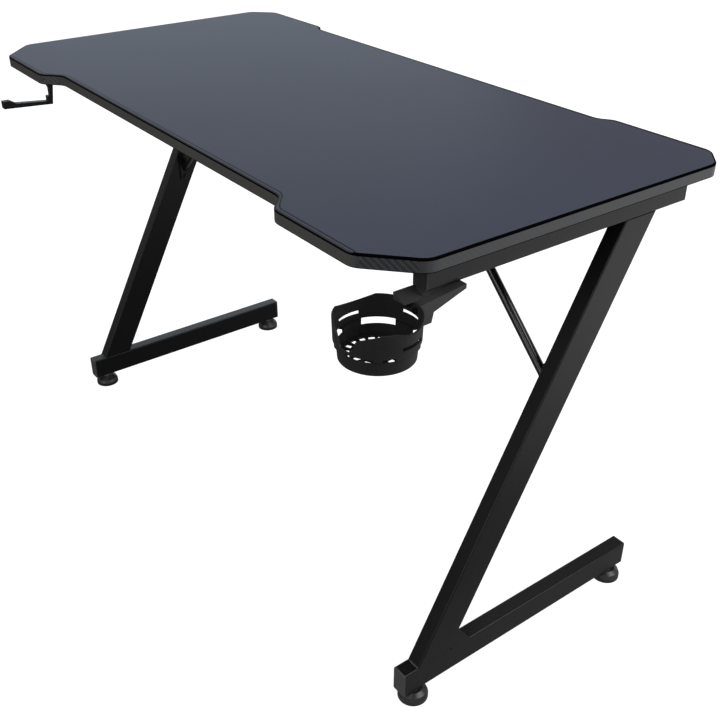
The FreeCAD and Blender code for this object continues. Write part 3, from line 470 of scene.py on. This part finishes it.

# Edge band: a strip of the same film on plastic, glued round the board and trimmed flush. Its print
# shows most where it bends round the cut corners. Its top corner is rounded over and coloured black, a
# painted dark reflection of that round, which draws the dark line round the top, and a paler strip along
# the front is a painted highlight.

rim_depth = 0.0030
heel_depth = 0.0012
rim_blur = 0.0003
highlight_reach = 0.038
print_mean = 0.52
straight_print = 0.30

edge_film, place = new_finish("edge_film", {"Specular IOR Level": 0.40})
x, y, z = axes(place)
facing = Wire(edge_film.node_tree.nodes["Texture Coordinate"].outputs["Normal"])
facing_x, facing_y, facing_z = axes(facing)
girth = x * facing_y - y * facing_x
over = twill(girth, z)
crown = over * tow_crown(girth) + (1 - over) * tow_crown(z)
grain = speckle(place, size=0.0006)
bent = clamped(abs(facing_x * facing_y), low=0.15, high=0.42)
weave = over * 0.55 + crown * 0.25 + grain * 0.20
shown = print_mean + (weave - print_mean) * (straight_print + bent * (1 - straight_print))
# Painted light and shade: the one film is coloured paler and warmer where it faces the front, darker and
# cooler where it faces the sides.
side_shade_film = tint(shown, dark=(0.005, 0.0052, 0.0056), pale=(0.044, 0.0455, 0.049))
front_light_film = tint(shown, dark=(0.013, 0.0126, 0.0117), pale=(0.080, 0.0775, 0.0715))
spread(place, {
    "Base Color": tint(clamped(0 - facing_y, low=0.80, high=0.98), side_shade_film, front_light_film),
    "Roughness": 0.34 + over * 0.08 + grain * 0.08,
    "Normal": relief(place, crown * 0.6 + grain * 0.4, depth=0.00006, strength=0.4),
})
low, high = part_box("tabletop_edge_band")
rim_level = high.z - rim_depth
heel_level = low.z + heel_depth
# Above this level the band's rounded top is coloured black: a painted dark reflection of that round.
rim = clamped(z, rim_level - rim_blur, rim_level + rim_blur)
heel = 1 - clamped(z, heel_level - rim_blur, heel_level + rim_blur)
# Along the front, the top of that round is coloured paler: a painted highlight.
at_front = (y < low.y + highlight_reach) * (abs(x) < front_reach)
painted_highlight = clamped(facing_z, low=0.60, high=0.72) * at_front
# The black of the top rim and the bottom line, with the painted highlight along the front, mixed over the
# film.
rim_shade_and_highlight = place.add("BsdfPrincipled", {}, {
    "Base Color": tint(painted_highlight, dark=(0.0014, 0.0014, 0.0016), pale=(0.036, 0.037, 0.041)),
    "Roughness": 0.5 + grain * 0.2, "Specular IOR Level": 0.0})
film = Wire(edge_film.node_tree.nodes["Principled BSDF"].outputs["BSDF"])
coat = film.add("MixShader", {}, {0: either(rim, heel), 1: film, 2: rim_shade_and_highlight})
edge_film.node_tree.links.new(coat.socket, edge_film.node_tree.nodes["Material Output"].inputs["Surface"])
dress(edge_film, "tabletop_edge_band")

# Tabletop screws: pan-head wood screws with a hexagon socket, driven up through the bars and
# the beam into the chipboard.

dress(black_steel, "tabletop_screws")

# Cup holder: a slotted basket and the arm that carries it, each moulded in black plastic with a
# spark-eroded grain. Two screws pass the arm into the right bar, and two more hold the basket.

fitting_plastic, place = new_finish("fitting_plastic", {"Specular IOR Level": 0.09})
etch = speckle(place, size=0.0005, detail=1.0)
flow = speckle(place, size=0.03, detail=4.0)
rub = clamped(speckle(place, size=0.006, detail=4.0), low=0.60, high=0.80)
spread(place, {
    "Base Color": tint(flow * 0.7 + rub * 0.3, dark=(0.012, 0.012, 0.0125), pale=(0.026, 0.026, 0.027)),
    "Roughness": 0.36 + etch * 0.12 + rub * 0.08,
    "Normal": relief(place, etch, depth=0.00005, strength=0.5),
})
dress(fitting_plastic, "cup_holder_basket")
# The arm gets a paler, glossier copy of the basket's plastic: painted light for its fin lit from the
# right.
lit_arm_plastic, place = new_finish("lit_arm_plastic", {"Specular IOR Level": 0.14})
etch = speckle(place, size=0.0005, detail=1.0)
flow = speckle(place, size=0.02, detail=4.0)
spread(place, {
    "Base Color": tint(flow * 0.7 + etch * 0.3, dark=(0.024, 0.024, 0.0245), pale=(0.056, 0.056, 0.057)),
    "Roughness": 0.34 + etch * 0.14,
    "Normal": relief(place, etch, depth=0.00007, strength=0.6),
})
dress(lit_arm_plastic, "cup_holder_arm")
dress(black_steel, "cup_holder_screws", "basket_screws")

# Headphone hook: one moulding of the basket's plastic, a plate, a post and a forward arm with a
# turned-up tip, held under the front of the left bar by two screws.

dress(fitting_plastic, "headphone_hook")
dress(black_steel, "hook_screws")

# Studio: the desk stands on a pale floor under a wide softbox, with others high on its right, in
# front, and low behind its left end. A dark flag off its front left keeps the fronts of the legs
# black. The camera stands where the photograph was taken, to the right of the front edge.

floor_reach = 14.0
floor_grey = (0.24, 0.24, 0.24, 1)
floor_glow = 0.92
glow_start = 0.7
glow_end = 2.2
far_sheen = 0.95
far_start = 0.74
far_end = 1.56
near_sheen = 0.15
near_edge = 0.5
near_start = 0.62
near_end = 0.80
air_light = 0.20
zenith_sheen = 0.25
zenith_start = 0.15
zenith_end = 0.50
flag_depth = 0.65
flag_start = 0.80
flag_end = 0.97
diagonal = 0.7071
camera_place = Vector((1.3144, -0.8667, 1.2052))
camera_aim = Vector((-0.6862, 0.5107, -0.5180))
photo_lens = 48.55


def straight_views(tree):
    """1 for what the camera sees, and 1 for what a reflection or a clear pane shows."""
    rays = tree.nodes.new("ShaderNodeLightPath").outputs
    mirrored = either(Wire(rays["Is Glossy Ray"]), Wire(rays["Is Transmission Ray"]))
    return Wire(rays["Is Camera Ray"]), mirrored


def softbox(name, place, aim, width, height, power, colour=(1, 1, 1)):
    """A flat lamp of that width and height at that place, turned to the aim."""
    data = bpy.data.lights.new(name, "AREA")
    data.shape = "RECTANGLE"
    data.size = width
    data.size_y = height
    data.energy = power
    data.color = colour
    lamp = bpy.data.objects.new(name, data)
    lamp.location = place
    lamp.rotation_euler = (Vector(aim) - Vector(place)).to_track_quat("-Z", "Y").to_euler()
    bpy.context.scene.collection.objects.link(lamp)


floor_mesh = bpy.data.meshes.new("studio_floor")
floor_mesh.from_pydata([(-floor_reach, -floor_reach, 0), (floor_reach, -floor_reach, 0),
                        (floor_reach, floor_reach, 0), (-floor_reach, floor_reach, 0)], [], [(0, 1, 2, 3)])
floor = bpy.data.objects.new("studio_floor", floor_mesh)
bpy.context.scene.collection.objects.link(floor)
floor_white, place = new_finish("floor_white", {"Base Color": floor_grey, "Roughness": 0.9,
                                                "Specular IOR Level": 0.0, "Emission Strength": 1.0})
x, y, z = axes(place)
far = clamped((x + y) * diagonal, far_start, far_end) * far_sheen
near = (x > near_edge) * (1 - clamped(x, near_start, near_end)) * near_sheen
away = place.add("VectorMath", {"operation": "LENGTH"}, {0: place}, "Value")
glow = floor_glow + clamped(away, glow_start, glow_end) * (1 - floor_glow)
seen, mirrored = straight_views(floor_white.node_tree)
light = seen * glow + mirrored * (far + near)
spread(place, {"Emission Color": tint(light, dark=(0, 0, 0), pale=(1, 1, 1))})
floor.data.materials.append(floor_white)

world = bpy.data.worlds.new("studio_air")
bpy.context.scene.world = world
world.use_nodes = True
air = world.node_tree.nodes["Background"]
air.inputs["Color"].default_value = (1, 1, 1, 1)
seen, mirrored = straight_views(world.node_tree)
toward = Wire(world.node_tree.nodes.new("ShaderNodeTexCoord").outputs["Generated"])
east, north, height = axes(toward)
flag = clamped((east + north) * -diagonal, flag_start, flag_end) * flag_depth
sky = (1 - clamped(height, zenith_start, zenith_end) * (1 - zenith_sheen)) * (1 - flag)
strength = air_light + seen * (1 - air_light) + mirrored * (sky - air_light)
world.node_tree.links.new(strength.socket, air.inputs["Strength"])

softbox("overhead_softbox", place=(-0.7, 0.4, 3.0), aim=(-0.2, 0, 0.7), width=2.0, height=2.0, power=43)
softbox("right_softbox", place=(2.4, 1.0, 2.0), aim=(0.4, 0, 0.4), width=2.0, height=2.0, power=60)
softbox("front_strip", place=(0.35, -2.6, 1.15), aim=(0.35, 0, 0.6), width=0.45, height=1.9, power=9)
softbox("front_fill", place=(1.1, -2.7, 2.5), aim=(0, 0, 0.6), width=1.6, height=1.2, power=36)
softbox("back_left_softbox", place=(-2.6, 1.4, 1.25), aim=(-0.4, 0.1, 0.757), width=2.4, height=0.9,
        power=10, colour=(0.70, 0.85, 1.0))

photo_camera = bpy.data.objects.new("photo_camera", bpy.data.cameras.new("photo_camera"))
photo_camera.data.lens = photo_lens
photo_camera.location = camera_place
photo_camera.rotation_euler = camera_aim.to_track_quat("-Z", "Y").to_euler()
bpy.context.scene.collection.objects.link(photo_camera)
bpy.context.scene.camera = photo_camera
bpy.context.scene.view_settings.view_transform = "Standard"
